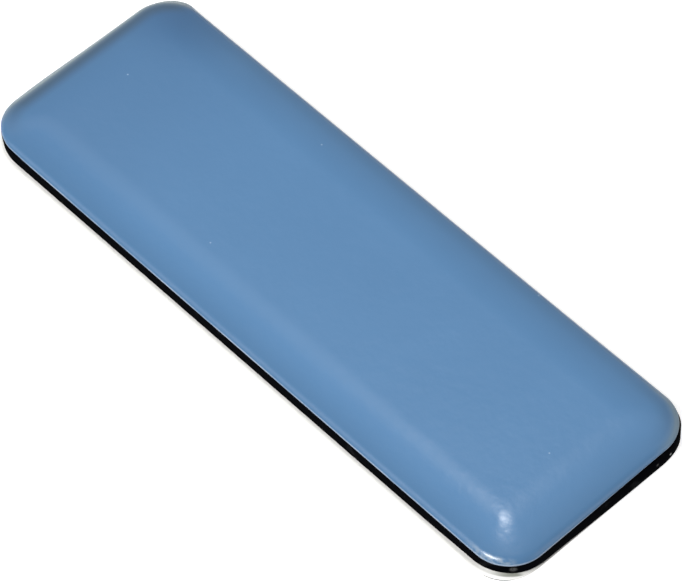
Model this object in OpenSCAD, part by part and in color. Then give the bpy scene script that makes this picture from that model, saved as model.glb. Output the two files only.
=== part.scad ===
// Self-adhesive furniture slider, lying on its release liner with the glide face up.
// X runs along the slider, Y across it, and Z = 0 is the liner's underside, at the middle of its outline.

/* [Rubber pad] */
// Length of the rubber pad
pad_l = 150; // [80:1:240]
// Width of the rubber pad
pad_w = 50; // [32:1:100]
// Height of the black side wall, from the tape up to the glide face's rim
wall_h = 3.4; // [1.5:0.05:8]
// Corner radius of the pad's outline
pad_corner_r = 9.4; // [6:0.1:15]
// Rounding of the pad's lower edge
pad_foot_r = 0.15; // [0.1:0.05:0.7]
// Rounding of the pad's upper edge, just under the rim
pad_shoulder_r = 0.15; // [0.05:0.05:0.5]

/* [Glide face] */
// Thickness of the formed plastic sheet
sheet_t = 0.9; // [0.5:0.05:1.3]
// Height of the flat top above the rim's underside
crown_h = 2.6; // [2.2:0.05:3.2]
// Corner radius of the rim's outline, which is also how far in the flat top starts
face_corner_r = 8.5; // [7:0.1:9.4]
// Radius of the wide flank next to the flat top
flank_r = 25.6; // [20:0.1:60]
// Radius of the tight bend above the rim
bend_r = 2.5; // [1.8:0.1:4]
// Height of the trimmed edge
rim_edge_h = 0.25; // [0.1:0.05:0.5]

/* [Adhesive layers] */
// Thickness of the film that bonds the sheet to the rubber
bond_t = 0.1; // [0.05:0.01:0.3]
// Thickness of each of the tape's two adhesive layers
adhesive_t = 0.08; // [0.04:0.01:0.3]
// Thickness of the film in the middle of the tape
carrier_t = 0.05; // [0.02:0.01:0.2]
// How far the tape stops short of the pad's outline
tape_inset = 0.5; // [0.2:0.1:3]

/* [Release liner] */
// Thickness of the coated paper
liner_t = 0.15; // [0.06:0.01:0.4]
// How far the paper reaches past the pad's outline
liner_overhang = 1; // [0.5:0.1:4]
// Corner radius of the paper
liner_corner_r = 8; // [3:0.1:14]

/* [Hidden] */
$fn = 96;

// Heights of the stack, from the liner up
mount_adhesive_z = liner_t;
carrier_z = mount_adhesive_z + adhesive_t;
pad_adhesive_z = carrier_z + carrier_t;
pad_z = pad_adhesive_z + adhesive_t;
rim_z = pad_z + wall_h;

// The tape's corners share their centres with the pad's
tape_l = pad_l - 2 * tape_inset;
tape_w = pad_w - 2 * tape_inset;
tape_corner_r = pad_corner_r - tape_inset;

liner_l = pad_l + 2 * liner_overhang;
liner_w = pad_w + 2 * liner_overhang;

// Section of the glide face, measured out from a corner's centre and up from the rim's underside:
// a wide flank leaves the flat top at that centre and runs on into the tight bend, which ends at the rim.
flank_centre = [0, crown_h - flank_r];
rim_edge = [face_corner_r, rim_edge_h];
// Flank and bend share a line through both their centres, which leans from the vertical by the slope there
centres_apart = flank_r - bend_r;
rim_away = norm(rim_edge - flank_centre);
rim_lean = atan2(rim_edge.x, rim_edge.y - flank_centre.y);
join_slope = rim_lean
    - acos((rim_away ^ 2 + centres_apart ^ 2 - bend_r ^ 2) / (2 * rim_away * centres_apart));
join_foot = [-flank_centre.y * tan(join_slope), 0];
join_top = flank_centre + (flank_r + bend_r) * [sin(join_slope), cos(join_slope)];
bend_bounds = [join_foot, [face_corner_r, 0], [face_corner_r, join_top.y], join_top];

// Depths below the glide face, square to its surface
bond_depth = sheet_t;
rubber_depth = sheet_t + bond_t;

// A section swept round an outline with round corners. It starts at the corners' centre line.
module sweep_round(l, w, corner_r) {
    side_l = l - 2 * corner_r;
    side_w = w - 2 * corner_r;
    for (half_turn = [0, 180]) rotate(half_turn) {
        translate([side_l / 2, side_w / 2]) rotate([90, 0, 0]) linear_extrude(side_w) children();
        translate([side_l / 2, side_w / 2]) rotate_extrude(angle = 90) children();
        translate([-side_l / 2, side_w / 2]) rotate([90, 0, 90]) linear_extrude(side_l) children();
        translate([-side_l / 2, side_w / 2]) rotate_extrude(angle = 90, start = 90) children();
    }
}

// The block between the corners' centres
module core(l, w, corner_r, h) {
    side_l = l - 2 * corner_r;
    side_w = w - 2 * corner_r;
    translate([-side_l / 2, -side_w / 2]) cube([side_l, side_w, h]);
}

// A flat layer with round corners
module layer(l, w, corner_r, t) {
    sweep_round(l, w, corner_r) square([corner_r, t]);
    core(l, w, corner_r, t);
}

// The area under the glide face's section, at a depth below the surface
module section_under(depth) {
    difference() {
        intersection() {
            square([face_corner_r, crown_h + bend_r]);
            translate(flank_centre) circle(flank_r - depth);
        }
        difference() {
            polygon(bend_bounds);
            translate(flank_centre) rotate(-join_slope)
                translate([0, centres_apart]) circle(bend_r - depth);
        }
    }
}

// A formed sheet between two depths
module formed_sheet(outer_depth, inner_depth) {
    sweep_round(pad_l, pad_w, face_corner_r) difference() {
        section_under(outer_depth);
        section_under(inner_depth);
    }
    translate([0, 0, crown_h - inner_depth])
        core(pad_l, pad_w, face_corner_r, inner_depth - outer_depth);
}

// Everything under the glide face's section at a depth, down to the rim's underside
module crown(depth) {
    sweep_round(pad_l, pad_w, face_corner_r) section_under(depth);
    core(pad_l, pad_w, face_corner_r, crown_h - depth);
}

// What rounding an edge takes off its section, measured from the rounding's centre
module rounding_waste(r) {
    difference() {
        square(r);
        circle(r);
    }
}

// The straight-sided slab of the pad, with its lower and upper edges rounded
module slab() {
    foot_x = pad_corner_r - pad_foot_r;
    shoulder_x = pad_corner_r - pad_shoulder_r;
    sweep_round(pad_l, pad_w, pad_corner_r) difference() {
        square([pad_corner_r, wall_h]);
        translate([foot_x, pad_foot_r]) mirror([0, 1]) rounding_waste(pad_foot_r);
        translate([shoulder_x, wall_h - pad_shoulder_r]) rounding_waste(pad_shoulder_r);
    }
    core(pad_l, pad_w, pad_corner_r, wall_h);
}

// Blue sheet of slippery plastic, formed over the crown of the pad and trimmed flush with its sides
module glide_face() {
    color("#6690bb") translate([0, 0, rim_z]) formed_sheet(0, bond_depth);
}

// Adhesive that holds the sheet to the crown
module bond_film() {
    color("#c9b58a") translate([0, 0, rim_z]) formed_sheet(bond_depth, rubber_depth);
}

// Black rubber pad: a straight-sided slab with a crown under the glide face
module rubber_pad() {
    color("#0b0d12") {
        translate([0, 0, pad_z]) slab();
        translate([0, 0, rim_z]) crown(rubber_depth);
    }
}

// Tape layer that sticks to the pad
module pad_adhesive() {
    color("#d9d2b4") translate([0, 0, pad_adhesive_z]) layer(tape_l, tape_w, tape_corner_r, adhesive_t);
}

// Thin film that carries the tape's two adhesive layers
module tape_carrier() {
    color("#e6e9ea") translate([0, 0, carrier_z]) layer(tape_l, tape_w, tape_corner_r, carrier_t);
}

// Tape layer that sticks to the furniture
module mount_adhesive() {
    color("#d9d2b4") translate([0, 0, mount_adhesive_z]) layer(tape_l, tape_w, tape_corner_r, adhesive_t);
}

// Coated paper that covers the tape until the slider is used
module release_liner() {
    color("#f1ecdd") layer(liner_l, liner_w, liner_corner_r, liner_t);
}

glide_face();
bond_film();
rubber_pad();
pad_adhesive();
tape_carrier();
mount_adhesive();
release_liner();
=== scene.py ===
import math

import bmesh
import bpy
from mathutils import Matrix, Vector, noise


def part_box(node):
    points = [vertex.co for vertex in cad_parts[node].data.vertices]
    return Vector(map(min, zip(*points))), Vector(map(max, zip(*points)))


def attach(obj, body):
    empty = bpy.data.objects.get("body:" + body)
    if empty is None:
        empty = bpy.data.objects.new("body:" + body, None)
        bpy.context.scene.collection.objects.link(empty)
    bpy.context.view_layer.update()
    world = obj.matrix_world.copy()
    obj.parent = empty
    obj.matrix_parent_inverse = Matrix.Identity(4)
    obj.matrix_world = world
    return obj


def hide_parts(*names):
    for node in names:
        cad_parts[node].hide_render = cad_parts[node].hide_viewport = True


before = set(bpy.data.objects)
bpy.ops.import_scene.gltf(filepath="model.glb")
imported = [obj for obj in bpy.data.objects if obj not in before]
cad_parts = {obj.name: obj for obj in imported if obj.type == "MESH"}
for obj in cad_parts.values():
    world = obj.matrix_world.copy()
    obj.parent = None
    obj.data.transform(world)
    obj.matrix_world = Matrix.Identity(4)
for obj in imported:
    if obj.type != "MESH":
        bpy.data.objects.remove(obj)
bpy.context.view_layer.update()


# Rubber pad: a black moulded rubber slab with straight sides and a low crown on top that the glide sheet is
# formed over. Its corners are a little rounder than the sheet's, and its lower and upper edges are eased.
MM = 0.001
pad_low, pad_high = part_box("rubber_pad")
sheet_low, sheet_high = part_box("glide_face")
PAD_L, PAD_W = pad_high.x - pad_low.x, pad_high.y - pad_low.y
PAD_Z, RIM_Z = pad_low.z, sheet_low.z
# The corners are a little rounder at the foot of the wall than at its shoulder
PAD_CORNER_R, FOOT_CORNER_R = 9.4 * MM, 9.8 * MM
FOOT_R, SHOULDER_R = 0.15 * MM, 0.15 * MM
# Three corners are squarer than the near left one: their side along and across the pad, and by how much
PROUD_CORNERS = ((1, 1, 0.6 * MM), (-1, -1, 0.2 * MM), (-1, 1, 0.4 * MM))

# The sheet's section, from the flat top outwards: a soft shoulder, an almost straight flank and a tight bend
# at the rim. It is stretched a little at the ends.
CROWN_H = sheet_high.z - RIM_Z
FLAT_INSET, END_STRETCH = 11 * MM, 1.12
SHOULDER_BEND_R, RIM_BEND_R = 28 * MM, 2 * MM
FLANK_SLOPES = math.radians(10), math.radians(12)
RIM_SLOPE = math.radians(62)
RIM_CORNER_R, FLAT_CORNER_R = 8.5 * MM, 2.5 * MM
SHEET_T, BOND_T = 0.9 * MM, 0.1 * MM
# The narrow ledge round the crown drops a little outwards
LEDGE_LEAN = 0.004

# Sheet and pad were trimmed a little askew. Each trim is in mm: from where to where it comes in along the pad
# and across it, and the shift. The rim's are at the near right corner, the far left corner, the left part of
# the far end and the far right corner, and the foot's are along the near end and on the left side next to it.
RIM_TRIMS = (
    ((35, 72), (-20, 18), (-0.2, 0, 0.25)),
    ((-60, -72), (-8, -21), (0.25, 0.25, 0)),
    ((-68, -74), (12, -14), (-0.35, 0, 0)),
    ((-66, -70), (19.5, 23), (0, 0.55, 0)),
)
RIM_BAND = 1.05 * MM
FOOT_TRIMS = (
    ((66, 74), (-18, 10), (0.4, 0, 0)),
    ((66, 74), (-22, -16), (-0.2, 0, 0)),
    ((52, 66), (-18, -24), (0, 0.18, 0)),
)

CORNER_STEPS, LONG_STEPS, SHORT_STEPS = 20, 52, 14
EDGE_STEPS, SHOULDER_STEPS, FLANK_STEPS, RIM_STEPS = 5, 12, 10, 16
SIDE_TOLERANCE = 0.001 * MM


def outline(bm, half_l, half_w, z, corner_r):
    """A closed loop of edges: a rectangle with round corners, its straight sides divided evenly."""
    corners = [
        bm.verts.new((x * half_l, y * half_w, z))
        for x, y in ((-1, -1), (1, -1), (1, 1), (-1, 1))
    ]
    bm.faces.new(corners)
    rounded = bmesh.ops.bevel(
        bm, geom=corners, offset=corner_r, offset_type="OFFSET", affect="VERTICES",
        segments=CORNER_STEPS, profile=0.5, material=-1,
    )
    face = rounded["verts"][0].link_faces[0]
    edges = sorted(face.edges, key=lambda e: e.calc_length())
    bmesh.ops.delete(bm, geom=[face], context="FACES_ONLY")
    for pair, steps in ((edges[-2:], LONG_STEPS), (edges[-4:-2], SHORT_STEPS)):
        divided = bmesh.ops.subdivide_edges(bm, edges=pair, cuts=steps - 1)["geom"]
        edges += [e for e in divided if isinstance(e, bmesh.types.BMEdge) and e not in edges]
    return edges


def pad_outline(bm, inset, z, corner_r):
    """The pad's outline drawn in by an inset, which is stretched at the ends."""
    return outline(bm, PAD_L / 2 - inset * END_STRETCH, PAD_W / 2 - inset, z, corner_r)


def skin(bm, loops):
    """Walls from each loop to the next, and a grid of faces over the first and the last."""
    for lower, upper in zip(loops, loops[1:]):
        bmesh.ops.bridge_loops(bm, edges=lower + upper)
    for end in (loops[0], loops[-1]):
        side_y = max(v.co.y for e in end for v in e.verts) - SIDE_TOLERANCE
        long_sides = [e for e in end if all(abs(v.co.y) > side_y for v in e.verts)]
        bmesh.ops.grid_fill(bm, edges=long_sides, use_interp_simple=True)
    bmesh.ops.recalc_face_normals(bm, faces=bm.faces)


def piece(bm, name, sharp_deg):
    """The finished mesh as an object, smooth apart from edges sharper than an angle."""
    for f in bm.faces:
        f.smooth = True
    for e in bm.edges:
        e.smooth = e.calc_face_angle(0) < math.radians(sharp_deg)
    mesh = bpy.data.meshes.new(name)
    bm.to_mesh(mesh)
    bm.free()
    made = bpy.data.objects.new(name, mesh)
    bpy.context.scene.collection.objects.link(made)
    return made


def bend(start, r, slope_from, slope_to, steps):
    """Points of a section along an arc that steepens from one slope to another: inset, height, slope."""
    inset, height, _ = start
    for i in range(1, steps + 1):
        slope = slope_from + (slope_to - slope_from) * i / steps
        yield (
            inset - r * (math.sin(slope) - math.sin(slope_from)),
            height - r * (math.cos(slope_from) - math.cos(slope)),
            slope,
        )


def crown_section():
    """The outside of the formed sheet, from the edge of its flat top out to the rim."""
    points = [(FLAT_INSET, CROWN_H, 0)]
    points += bend(points[-1], SHOULDER_BEND_R, 0, FLANK_SLOPES[0], SHOULDER_STEPS)
    rim_run = RIM_BEND_R * (math.sin(RIM_SLOPE) - math.sin(FLANK_SLOPES[1]))
    flank_run = points[-1][0] - rim_run
    flank_r = flank_run / (math.sin(FLANK_SLOPES[1]) - math.sin(FLANK_SLOPES[0]))
    points += bend(points[-1], flank_r, *FLANK_SLOPES, FLANK_STEPS)
    points += bend(points[-1], RIM_BEND_R, FLANK_SLOPES[1], RIM_SLOPE, RIM_STEPS)
    return points


def crown_levels(depth):
    """Insets, heights and corner radii at a depth below the glide face, from the flat top to the rim."""
    levels = [
        (inset + depth * math.sin(slope), height - depth * math.cos(slope), slope)
        for inset, height, slope in crown_section()
    ]
    ledge = depth * LEDGE_LEAN
    if levels[-1][1] < ledge:
        kept = [level for level in levels if level[1] > ledge]
        last, cut = kept[-1], levels[len(kept)]
        share = (last[1] - ledge) / (last[1] - cut[1])
        levels = kept + [(last[0] + (cut[0] - last[0]) * share, ledge, last[2])]
    for inset, height, slope in levels:
        lean = depth * math.sin(slope)
        # Corners tighten inwards as a parallel outline's do, but ease off towards the flat top's own radius
        parallel_r = RIM_CORNER_R - FLAT_CORNER_R ** 2 / RIM_CORNER_R - (inset - lean)
        corner_r = (parallel_r + math.hypot(parallel_r, 2 * FLAT_CORNER_R)) / 2 - lean
        yield inset, RIM_Z + height, corner_r


def ease(value, start, end):
    """0 at the start, 1 at the end and a soft S between them."""
    t = min(1, max(0, (value - start) / (end - start)))
    return t * t * (3 - 2 * t)


def settle(bm, trims, *heights):
    """Shifts what lies in these ranges of heights by each trim, where the trim is."""
    for v in bm.verts:
        share = math.prod(ease(v.co.z, start, end) for start, end in heights)
        x, y = v.co.x / MM, v.co.y / MM
        for along, across, shift in trims:
            v.co += share * ease(x, *along) * ease(y, *across) * Vector(shift) * MM


def settle_rim(bm):
    """Shifts what lies along the rim, most at the rim itself."""
    settle(bm, RIM_TRIMS, (RIM_Z - SHOULDER_R, RIM_Z), (RIM_Z + RIM_BAND, RIM_Z))


def square_up(bm, centre, amount, top):
    """Pushes a round corner outwards below a height, most at its middle."""
    for v in bm.verts:
        out = v.co.xy - centre
        if out.x * centre.x > 0 and out.y * centre.y > 0 and v.co.z < top:
            ray = out.normalized()
            v.co.xy += ray * amount * (2 * ray.x * ray.y) ** 2


bm = bmesh.new()
loops = []
quarter = [math.pi / 2 * i / EDGE_STEPS for i in range(EDGE_STEPS + 1)]
for turn in quarter:
    inset = FOOT_R * (1 - math.sin(turn))
    loops.append(pad_outline(bm, inset, PAD_Z + FOOT_R * (1 - math.cos(turn)), FOOT_CORNER_R - inset))
for turn in quarter:
    inset = SHOULDER_R * (1 - math.cos(turn))
    loops.append(pad_outline(bm, inset, RIM_Z - SHOULDER_R * (1 - math.sin(turn)), PAD_CORNER_R - inset))
for level in reversed(list(crown_levels(SHEET_T + BOND_T))):
    loops.append(pad_outline(bm, *level))
skin(bm, loops)
corner_x, corner_y = PAD_L / 2 - PAD_CORNER_R, PAD_W / 2 - PAD_CORNER_R
for x, y, amount in PROUD_CORNERS:
    square_up(bm, Vector((x * corner_x, y * corner_y)), amount, RIM_Z)
settle(bm, FOOT_TRIMS, (RIM_Z - SHOULDER_R, PAD_Z + FOOT_R))
settle_rim(bm)
rubber_pad = piece(bm, "rubber_pad_body", sharp_deg=50)

RUBBER_BLACKS = (0.0007, 0.0008, 0.0013, 1), (0.002, 0.0022, 0.0032, 1)
SCUFF_GREY, DUST_AND_GLINT_GREY = (0.05, 0.052, 0.056, 1), (0.62, 0.63, 0.62, 1)
# Dust on the wall and painted glints, in mm: each one's middle, its reach and how strong it is. A dust smear
# at the near left corner, and two pale specks by the near right one that are painted glints.
WALL_DUST_AND_GLINTS = (
    ((72.8, -21.64, 1.85), 1, 0.12),
    ((74.8, 17.5, 1.6), 0.4, 1),
    ((75, 13.9, 1.85), 0.45, 0.1),
)
# The inner share of each dust spot's and painted glint's reach that is evenly covered
DUST_AND_GLINT_CORE = 0.4


class Signal:
    """A value on its way through a material's nodes."""

    def __init__(self, tree, socket=None):
        self.tree, self.socket = tree, socket

    def node(self, kind, settings=None, inputs=None, output=0):
        """Adds a node. Its settings come first, then its sockets get their values or links."""
        made = self.tree.nodes.new(kind)
        for name, value in (settings or {}).items():
            setattr(made, name, value)
        for name, value in (inputs or {}).items():
            if isinstance(value, Signal):
                self.tree.links.new(value.socket, made.inputs[name])
            else:
                made.inputs[name].default_value = value
        return Signal(self.tree, made.outputs[output] if len(made.outputs) else None)

    def __add__(self, other):
        return self.node("ShaderNodeMath", {"operation": "ADD"}, {0: self, 1: other})

    __radd__ = __add__

    def __mul__(self, other):
        return self.node("ShaderNodeMath", {"operation": "MULTIPLY"}, {0: self, 1: other})

    __rmul__ = __mul__

    def axis(self, name):
        """One of these coordinates."""
        return self.node("ShaderNodeSeparateXYZ", None, {"Vector": self}, name)

    def noise(self, scale, detail=2, roughness=0.5):
        """Soft noise from 0 to 1 on these coordinates."""
        return self.node(
            "ShaderNodeTexNoise", None,
            {"Vector": self, "Scale": scale, "Detail": detail, "Roughness": roughness},
        )

    def between(self, start, end):
        """0 before the start, 1 past the end."""
        return self.node(
            "ShaderNodeMapRange", {"interpolation_type": "SMOOTHSTEP"},
            {"Value": self, "From Min": start, "From Max": end},
        )

    def blend(self, colour_a, colour_b):
        """One colour where this is 0 and another where it is 1."""
        return self.node(
            "ShaderNodeMix", {"data_type": "RGBA"},
            {"Factor": self, "A": colour_a, "B": colour_b}, "Result",
        )

    def bump(self, height_m):
        """A relief of that height, for a shader's Normal."""
        return self.node(
            "ShaderNodeBump", None, {"Strength": 1, "Distance": height_m, "Height": self},
        )


def material(name):
    """A new material, and the place on its piece that its nodes start from."""
    made = bpy.data.materials.new(name)
    made.use_nodes = True
    made.node_tree.nodes.clear()
    return made, Signal(made.node_tree).node("ShaderNodeTexCoord", output="Object")


def coat(place, **sockets):
    """Ends a material in a Principled shader with these sockets."""
    inputs = {name.replace("_", " "): value for name, value in sockets.items()}
    shader = place.node("ShaderNodeBsdfPrincipled", None, inputs)
    place.node("ShaderNodeOutputMaterial", None, {"Surface": shader})


rubber, place = material("black_rubber")
cloud = place.noise(scale=90, detail=3)
grain = place.noise(scale=2600)
pits = place.noise(scale=500)
scuff = place.noise(scale=170, detail=3, roughness=0.6).between(0.58, 0.68)
black = cloud.blend(*RUBBER_BLACKS)
scuffed_black = (0.3 * scuff * grain).blend(black, SCUFF_GREY)
# Pale grey on the black: a dust smear, and two painted glints by the near right corner
dust_and_glints = 0
for middle, reach, amount in WALL_DUST_AND_GLINTS:
    away = place.node(
        "ShaderNodeVectorMath", {"operation": "DISTANCE"}, {0: place, 1: Vector(middle) * MM}, "Value",
    )
    dust_and_glints += amount * away.between(reach * MM, DUST_AND_GLINT_CORE * reach * MM)
coat(
    place,
    Base_Color=(2 * dust_and_glints * grain).blend(scuffed_black, DUST_AND_GLINT_GREY),
    Roughness=0.5 + 0.2 * cloud + 0.1 * grain,
    Normal=(grain + 1.5 * pits).bump(0.006 * MM),
    Specular_IOR_Level=0.002,
)
rubber_pad.data.materials.append(rubber)
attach(rubber_pad, "slider")
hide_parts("rubber_pad")


# Bond film: a tenth of a millimetre of heat-set adhesive that holds the glide sheet to the crown of the pad.
# It ends level with the rim's underside, so none of it shows while the sheet is on.
BOND_TANS = (0.5, 0.38, 0.19, 1), (0.66, 0.53, 0.31, 1)


def formed_sheet(outer_depth, inner_depth):
    """A shell between two depths of the crown's section, as one closed skin."""
    bm = bmesh.new()
    loops = [pad_outline(bm, *level) for level in crown_levels(outer_depth)]
    if outer_depth == 0:
        loops.append(pad_outline(bm, 0, RIM_Z, RIM_CORNER_R))
    loops += [pad_outline(bm, *level) for level in reversed(list(crown_levels(inner_depth)))]
    skin(bm, loops)
    settle_rim(bm)
    return bm


bond_film = piece(formed_sheet(SHEET_T, SHEET_T + BOND_T), "bond_film_layer", sharp_deg=40)
bond, place = material("bond_adhesive")
cloud = place.noise(scale=260, detail=3)
coat(
    place,
    Base_Color=cloud.blend(*BOND_TANS),
    Roughness=0.3 + 0.25 * cloud,
    Normal=cloud.bump(0.01 * MM),
)
bond_film.data.materials.append(bond)
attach(bond_film, "slider")
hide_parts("bond_film")


# Glide face: 0.9 mm of blue low-friction plastic sheet, heat-formed over the crown and trimmed flush with the
# pad. It is satin, with a faint ripple from the press. Its trimmed edge is painted paler as a painted
# highlight.
# Painted shade deepens the far end and far right corner; the far rim, the right rim and the near right corner
# carry painted grey shade and a pale painted reflection, and the near left corner a painted glint.
WAVE_H, WAVE_L = 0.03 * MM, 26 * MM
SHEET_BLUES = (0.084, 0.208, 0.394, 1), (0.092, 0.225, 0.423, 1)
# Painted shade: the blue is deeper towards the far end and at the far right corner
FAR_SHADE_BLUE, FAR_RIGHT_SHADE_BLUE = (0.074, 0.186, 0.358, 1), (0.048, 0.135, 0.28, 1)
# Painted grey shade and a pale painted reflection for the rims, and a painted glint for the near left corner
FLANK_BLUE, GREY_SHADE_BLUE = (0.067, 0.165, 0.311, 1), (0.052, 0.105, 0.178, 1)
PALE_REFLECTION_BLUE, GLINT_BLUE = (0.22, 0.29, 0.33, 1), (0.26, 0.33, 0.41, 1)
# The edge blue is a painted highlight along the trimmed edge
EDGE_HIGHLIGHT_BLUE, DUST_BLUE = (0.27, 0.35, 0.47, 1), (0.24, 0.38, 0.55, 1)
# Where these come in, in mm along and across the pad
FAR_SHADE_SPAN, RIGHT_SPAN = (-20, -72), (17, 23)
FAR_RIGHT_SHADE, FAR_END = ((-48, -70), (6, 22)), ((-66, -71), (-24, -15))
NEAR_RIGHT, NEAR_LEFT = ((58, 70), (13, 21.5)), ((62, 69.5), (-20.5, -23))
# And in mm above the rim
FLANK_BAND, EDGE_HIGHLIGHT_BAND = (CROWN_H / MM - 0.15, 0.6), (0.42, 0.28)
GREY_SHADE_BAND, PALE_REFLECTION_BAND, GLINT_BAND = (1.9, 1.3), (1.4, 0.95), (1.25, 0.9)
# How strong the painted grey shade, the pale painted reflection and the painted glint are, where the far
# rim's is 1
NEAR_RIGHT_GREY_SHADE, RIGHT_RIM_GREY_SHADE, NEAR_RIGHT_REFLECTION, NEAR_LEFT_GLINT = 0.25, 0.15, 0.65, 0.8
# Specks of dust: the cells to a metre that they are strewn over, and where in its cell a speck fades in
DUST_CELLS, DUST_SPECK = 26, (0.0055, 0.0035)


def span(place, axis, start, end):
    """0 to 1 from one distance in mm along an axis to another."""
    return place.axis(axis).between(start * MM, end * MM)


def patch(place, along, across):
    """1 in a corner or strip of the slider, seen from above."""
    return span(place, "X", *along) * span(place, "Y", *across)


def band(place, start, end):
    """0 to 1 from one height in mm above the rim to another."""
    return place.axis("Z").between(RIM_Z + start * MM, RIM_Z + end * MM)


bm = formed_sheet(0, SHEET_T)
for v in bm.verts:
    above_rim = max(0.0, min(1.0, (v.co.z - RIM_Z) / CROWN_H))
    v.co.z += WAVE_H * above_rim * (noise.noise(v.co / WAVE_L) - 1) / 2
glide_face = piece(bm, "glide_sheet", sharp_deg=40)

plastic, place = material("blue_glide_plastic")
cloud = place.noise(scale=60, detail=4, roughness=0.6)
speck = place.noise(scale=1500, detail=1)
peel = place.noise(scale=420)
# Painted shade deepens the blue towards the far end and at the far right corner
blue = span(place, "X", *FAR_SHADE_SPAN).blend(cloud.blend(*SHEET_BLUES), FAR_SHADE_BLUE)
flank_blue = band(place, *FLANK_BAND).blend(blue, FLANK_BLUE)
shaded_blue = patch(place, *FAR_RIGHT_SHADE).blend(flank_blue, FAR_RIGHT_SHADE_BLUE)
far_end, near_right = patch(place, *FAR_END), patch(place, *NEAR_RIGHT)
right_rim = span(place, "Y", *RIGHT_SPAN)
# Painted grey shade and a pale painted reflection along the far rim, the right rim and the near right corner
grey_shade = far_end + NEAR_RIGHT_GREY_SHADE * near_right + RIGHT_RIM_GREY_SHADE * right_rim
grey_shaded_blue = (grey_shade * band(place, *GREY_SHADE_BAND)).blend(shaded_blue, GREY_SHADE_BLUE)
pale_reflection = (far_end + NEAR_RIGHT_REFLECTION * near_right) * band(place, *PALE_REFLECTION_BAND)
reflected_blue = pale_reflection.blend(grey_shaded_blue, PALE_REFLECTION_BLUE)
# A painted glint, pale and mottled, on the rim at the near left corner
glint_mottle = place.noise(scale=900).between(0.3, 0.6)
painted_glint = NEAR_LEFT_GLINT * patch(place, *NEAR_LEFT) * band(place, *GLINT_BAND) * glint_mottle
glinted_blue = painted_glint.blend(reflected_blue, GLINT_BLUE)
# The trimmed edge is rougher, and painted paler as a painted highlight along the rim
cut_edge_and_highlight = band(place, *EDGE_HIGHLIGHT_BAND)
uneven = 0.45 + 0.55 * place.noise(scale=140).between(0.38, 0.6)
edge_highlighted_blue = (cut_edge_and_highlight * uneven).blend(glinted_blue, EDGE_HIGHLIGHT_BLUE)
cells = place.node(
    "ShaderNodeTexVoronoi", {"voronoi_dimensions": "2D"}, {"Vector": place, "Scale": DUST_CELLS}, "Distance",
)
dust = cells.between(*DUST_SPECK)
coat(
    place,
    Base_Color=dust.blend(edge_highlighted_blue, DUST_BLUE),
    Roughness=0.17 + 0.05 * cloud + 0.05 * speck + 0.2 * cut_edge_and_highlight,
    Normal=(peel + 0.15 * speck).bump(0.04 * MM),
    IOR=1.38,
)
glide_face.data.materials.append(plastic)
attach(glide_face, "slider")
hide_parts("glide_face")


# Double-sided tape: two layers of yellowish acrylic adhesive on a thin film, cut half a millimetre inside the
# pad. Only its edge shows, as a pale line above the liner, until the liner is peeled off.
ADHESIVE_CREAMS = (0.62, 0.57, 0.4, 1), (0.76, 0.71, 0.53, 1)
FILM_GREYS = (0.75, 0.77, 0.78, 1), (0.83, 0.85, 0.86, 1)
ADHESIVE_CELLS = 420

adhesive, place = material("acrylic_adhesive")
cells = place.node("ShaderNodeTexVoronoi", None, {"Vector": place, "Scale": ADHESIVE_CELLS}, "Distance")
cloud = place.noise(scale=70, detail=3)
coat(
    place,
    Base_Color=cloud.blend(*ADHESIVE_CREAMS),
    Roughness=0.16 + 0.2 * cloud,
    Normal=(cloud + 0.5 * cells).bump(0.02 * MM),
)
film, place = material("tape_film")
cloud = place.noise(scale=120)
coat(
    place,
    Base_Color=cloud.blend(*FILM_GREYS),
    Roughness=0.12 + 0.12 * cloud,
    Normal=cloud.bump(0.004 * MM),
)
for name, finish in (("pad_adhesive", adhesive), ("tape_carrier", film), ("mount_adhesive", adhesive)):
    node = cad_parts[name]
    node.data.materials.clear()
    node.data.materials.append(finish)


# Release liner: silicone-coated white paper, 0.15 mm thick, laid so that it shows along the pad's left edge
# and at the near left corner, where a thumbnail can catch it. Next to the pad it carries a painted shadow,
# most at that corner, where its cut edge is painted dark as a shadow line. The paper lies on the table and is
# peeled off sideways.
liner_low, liner_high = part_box("release_liner")
LINER_L, LINER_W, LINER_T = liner_high - liner_low
LINER_CORNER_R, LINER_EDGE = 9 * MM, 0.09 * MM
# How much it is shorter at both ends together, and narrower on the right, and how far one corner stands out
LINER_SHORT, LINER_NARROW, LINER_PROUD = 2.1 * MM, 1.5 * MM, 0.35 * MM
PAPER_WHITES, SHADOW_GREY = ((0.84, 0.83, 0.8, 1), (0.92, 0.915, 0.9, 1)), (0.27, 0.28, 0.24, 1)
EDGE_WHITES, EDGE_SHADOW_GREY = ((0.78, 0.77, 0.74, 1), (0.9, 0.89, 0.87, 1)), (0.2, 0.195, 0.19, 1)
# Where the painted shadows lie, out from the pad's corner centres and, in mm, along and across the pad
SHADOW_REACH = PAD_CORNER_R + 0.55 * MM, PAD_CORNER_R + 0.2 * MM
SHADOW_CORNER, EDGE_SHADOW_CORNER = ((68.5, 72.5), (-19.8, -21.2)), ((67.5, 70.5), (-21.8, -23.8))
# How much finer the fibres are across the pad
FIBRE_STRETCH = (1, 2.6, 1)
# A face that leans more than this belongs to the cut edge
FLAT_FACE = 0.9

half_l, half_w = (LINER_L - LINER_SHORT) / 2, (LINER_W - LINER_NARROW) / 2
bm = bmesh.new()
skin(bm, [
    outline(bm, half_l - inset, half_w - inset, z, LINER_CORNER_R - inset)
    for inset, z in ((0, 0), (0, LINER_T - LINER_EDGE), (LINER_EDGE, LINER_T))
])
square_up(bm, Vector((half_l - LINER_CORNER_R, LINER_CORNER_R - half_w)), LINER_PROUD, 2 * LINER_T)
bmesh.ops.translate(bm, verts=bm.verts, vec=(0, -LINER_NARROW / 2, 0))
release_liner = piece(bm, "release_liner_sheet", sharp_deg=60)

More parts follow.
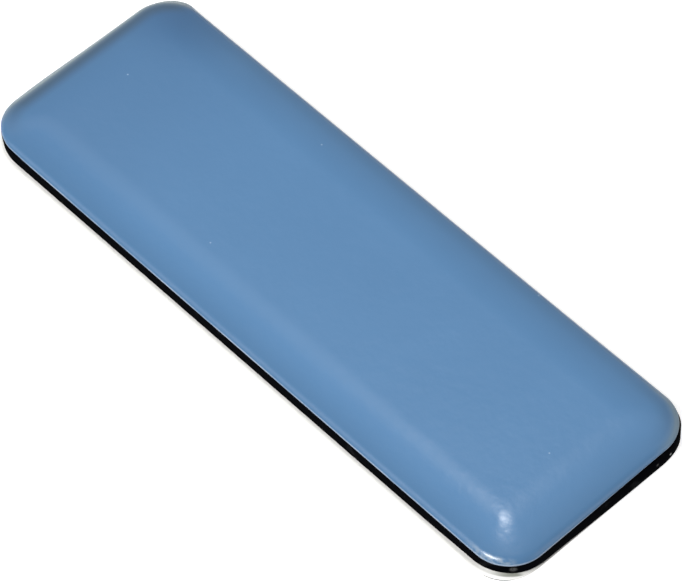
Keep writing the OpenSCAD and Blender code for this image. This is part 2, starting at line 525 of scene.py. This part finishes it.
paper, place = material("liner_paper")
stretched = place.node("ShaderNodeMapping", None, {"Vector": place, "Scale": FIBRE_STRETCH})
fibre = stretched.noise(scale=1400, detail=4, roughness=0.6)
cloud = place.noise(scale=160, detail=3)
white_paper = (0.6 * cloud + 0.4 * fibre).blend(*PAPER_WHITES)
outwards = place.node("ShaderNodeVectorMath", {"operation": "ABSOLUTE"}, {0: place})
outwards = place.node(
    "ShaderNodeVectorMath", {"operation": "SUBTRACT"}, {0: outwards, 1: (corner_x, corner_y, 0)},
)
outwards = place.node("ShaderNodeVectorMath", {"operation": "MAXIMUM"}, {0: outwards})
reach = place.node("ShaderNodeVectorMath", {"operation": "LENGTH"}, {0: outwards}, "Value")
# Painted shadow on the paper next to the pad, darkest at the near left corner
painted_shadow = reach.between(*SHADOW_REACH) * (0.25 + 0.75 * patch(place, *SHADOW_CORNER))
coat(
    place,
    Base_Color=painted_shadow.blend(white_paper, SHADOW_GREY),
    Roughness=0.38 + 0.2 * fibre,
    Normal=fibre.bump(0.008 * MM),
)
cut_edge, place = material("liner_cut_edge")
fibre = place.noise(scale=1800, detail=3, roughness=0.6)
coat(
    place,
    # A painted shadow line along the cut edge at the near left corner
    Base_Color=patch(place, *EDGE_SHADOW_CORNER).blend(fibre.blend(*EDGE_WHITES), EDGE_SHADOW_GREY),
    Roughness=0.7 + 0.2 * fibre,
    Normal=fibre.bump(0.01 * MM),
)
release_liner.data.materials.append(paper)
release_liner.data.materials.append(cut_edge)
for face in release_liner.data.polygons:
    face.material_index = int(abs(face.normal.z) < FLAT_FACE)
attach(release_liner, "liner")
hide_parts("release_liner")


# Camera: the photograph's viewpoint, high above the near left corner, through a long lens.
# The picture is shifted a little, so that the slider sits in the frame as it does in the photograph.
FRAME_W = 682
FOCAL_PX, SHIFT_PX = 4428, (9.98, -10.64)
SENSOR_W = 36
# It looks at a point this far above the middle of the pad's foot
AIM_H = 0.44 * MM
AZIMUTH, ELEVATION, ROLL = math.radians(50.237), math.radians(54.012), math.radians(-3.953)
CAMERA_DISTANCE = 0.8603

back = Vector((
    math.sin(AZIMUTH) * math.cos(ELEVATION), -math.cos(AZIMUTH) * math.cos(ELEVATION), math.sin(ELEVATION),
))
right = Vector((math.cos(AZIMUTH), math.sin(AZIMUTH), 0))
stance = Matrix((right, back.cross(right), back)).transposed() @ Matrix.Rotation(ROLL, 3, "Z")
stand = Matrix.Translation(back * CAMERA_DISTANCE + Vector((0, 0, PAD_Z + AIM_H)))
camera_data = bpy.data.cameras.new("camera")
camera_data.sensor_width = SENSOR_W
camera_data.lens = FOCAL_PX / FRAME_W * SENSOR_W
camera_data.shift_x, camera_data.shift_y = (shift / FRAME_W for shift in SHIFT_PX)
camera = bpy.data.objects.new("camera", camera_data)
camera.matrix_world = stand @ stance.to_4x4()
bpy.context.scene.collection.objects.link(camera)
bpy.context.scene.camera = camera


# Studio light: a key lamp high on the left, and soft panels on the left, near, right, top and back.
# Two more lamps show in the gloss alone: one on the left rim, the other as the spot near the corner.
def lamp(name, towards, distance, size, power):
    """A flat panel of light that faces the object from a direction."""
    data = bpy.data.lights.new(name, "AREA")
    data.shape, data.energy = "RECTANGLE", power
    data.size, data.size_y = size
    made = bpy.data.objects.new(name, data)
    away = Vector(towards).normalized()
    side = (Vector((1, 0, 0)) - away * away.x).normalized()
    turn = Matrix((side, away.cross(side), away)).transposed()
    made.matrix_world = Matrix.Translation(away * distance) @ turn.to_4x4()
    made.visible_camera = False
    bpy.context.scene.collection.objects.link(made)
    return made


lamp("key_left", towards=(-0.02, -0.58, 0.81), distance=1.6, size=(0.6, 0.36), power=23.2)
lamp("panel_left", towards=(-0.45, -0.72, 0.5), distance=1.6, size=(1, 0.8), power=4.6)
lamp("panel_near", towards=(0.8, 0.38, 0.45), distance=1.6, size=(0.9, 0.9), power=3.6)
lamp("panel_right", towards=(-0.44, 0.82, 0.38), distance=1.8, size=(0.8, 0.4), power=1)
lamp("panel_top", towards=(-0.15, 0.46, 0.87), distance=1.6, size=(0.45, 0.7), power=0.5)
lamp("panel_back", towards=(-0.52, 0.205, 0.83), distance=1.6, size=(0.85, 0.42), power=1.2)
for glint in (
    lamp("glint_back", towards=(-0.245, 0.225, 0.943), distance=1.6, size=(0.1, 0.09), power=3.8),
    lamp("glint_left", towards=(-0.05, -0.58, 0.81), distance=1.55, size=(0.7, 0.8), power=12),
):
    glint.visible_diffuse = False


# Table and surroundings: a white table that keeps the object's soft shadow, in a white room.
# To the camera and in gloss the room is plain white, and the table glows up to white away from the object.
AMBIENT, SEEN_WHITE = 0.16, 1
TABLE_R, TABLE_SIDES, TABLE_DROP = 6, 64, 0.02 * MM
TABLE_WHITE, NEAR_GLOW, FAR_GLOW = (0.82, 0.82, 0.82, 1), (0.75, 0.75, 0.75, 1), (1, 1, 1, 1)
TABLE_FADE = 0.25, 1.1
ROOM_WHITE = (1, 1, 1, 1)


def seen_rays(signal):
    """1 for what the camera sees, in a mirror and through glass as well."""
    def ray(kind):
        return signal.node("ShaderNodeLightPath", output=kind)
    return ray("Is Camera Ray") + ray("Is Glossy Ray") + ray("Is Transmission Ray")


bm = bmesh.new()
bmesh.ops.create_circle(bm, cap_ends=True, radius=TABLE_R, segments=TABLE_SIDES)
bmesh.ops.translate(bm, verts=bm.verts, vec=(0, 0, -TABLE_DROP))
table = piece(bm, "table", sharp_deg=60)
white, place = material("white_table")
surface = place.node("ShaderNodeBsdfDiffuse", None, {"Color": TABLE_WHITE})
away = place.node("ShaderNodeVectorMath", {"operation": "LENGTH"}, {0: place}, "Value")
glow = away.between(*TABLE_FADE).blend(NEAR_GLOW, FAR_GLOW)
lift = place.node("ShaderNodeEmission", None, {"Color": glow, "Strength": seen_rays(place)})
lit_surface = place.node("ShaderNodeAddShader", None, {0: surface, 1: lift})
place.node("ShaderNodeOutputMaterial", None, {"Surface": lit_surface})
table.data.materials.append(white)

room = bpy.data.worlds.new("room")
room.use_nodes = True
room.node_tree.nodes.clear()
signal = Signal(room.node_tree)
lit = signal.node("ShaderNodeBackground", None, {"Color": ROOM_WHITE, "Strength": AMBIENT})
seen = signal.node("ShaderNodeBackground", None, {"Color": ROOM_WHITE, "Strength": SEEN_WHITE})
either = signal.node("ShaderNodeMixShader", None, {"Fac": seen_rays(signal), 1: lit, 2: seen})
signal.node("ShaderNodeOutputWorld", None, {"Surface": either})
bpy.context.scene.world = room
bpy.context.scene.view_settings.view_transform = "Standard"
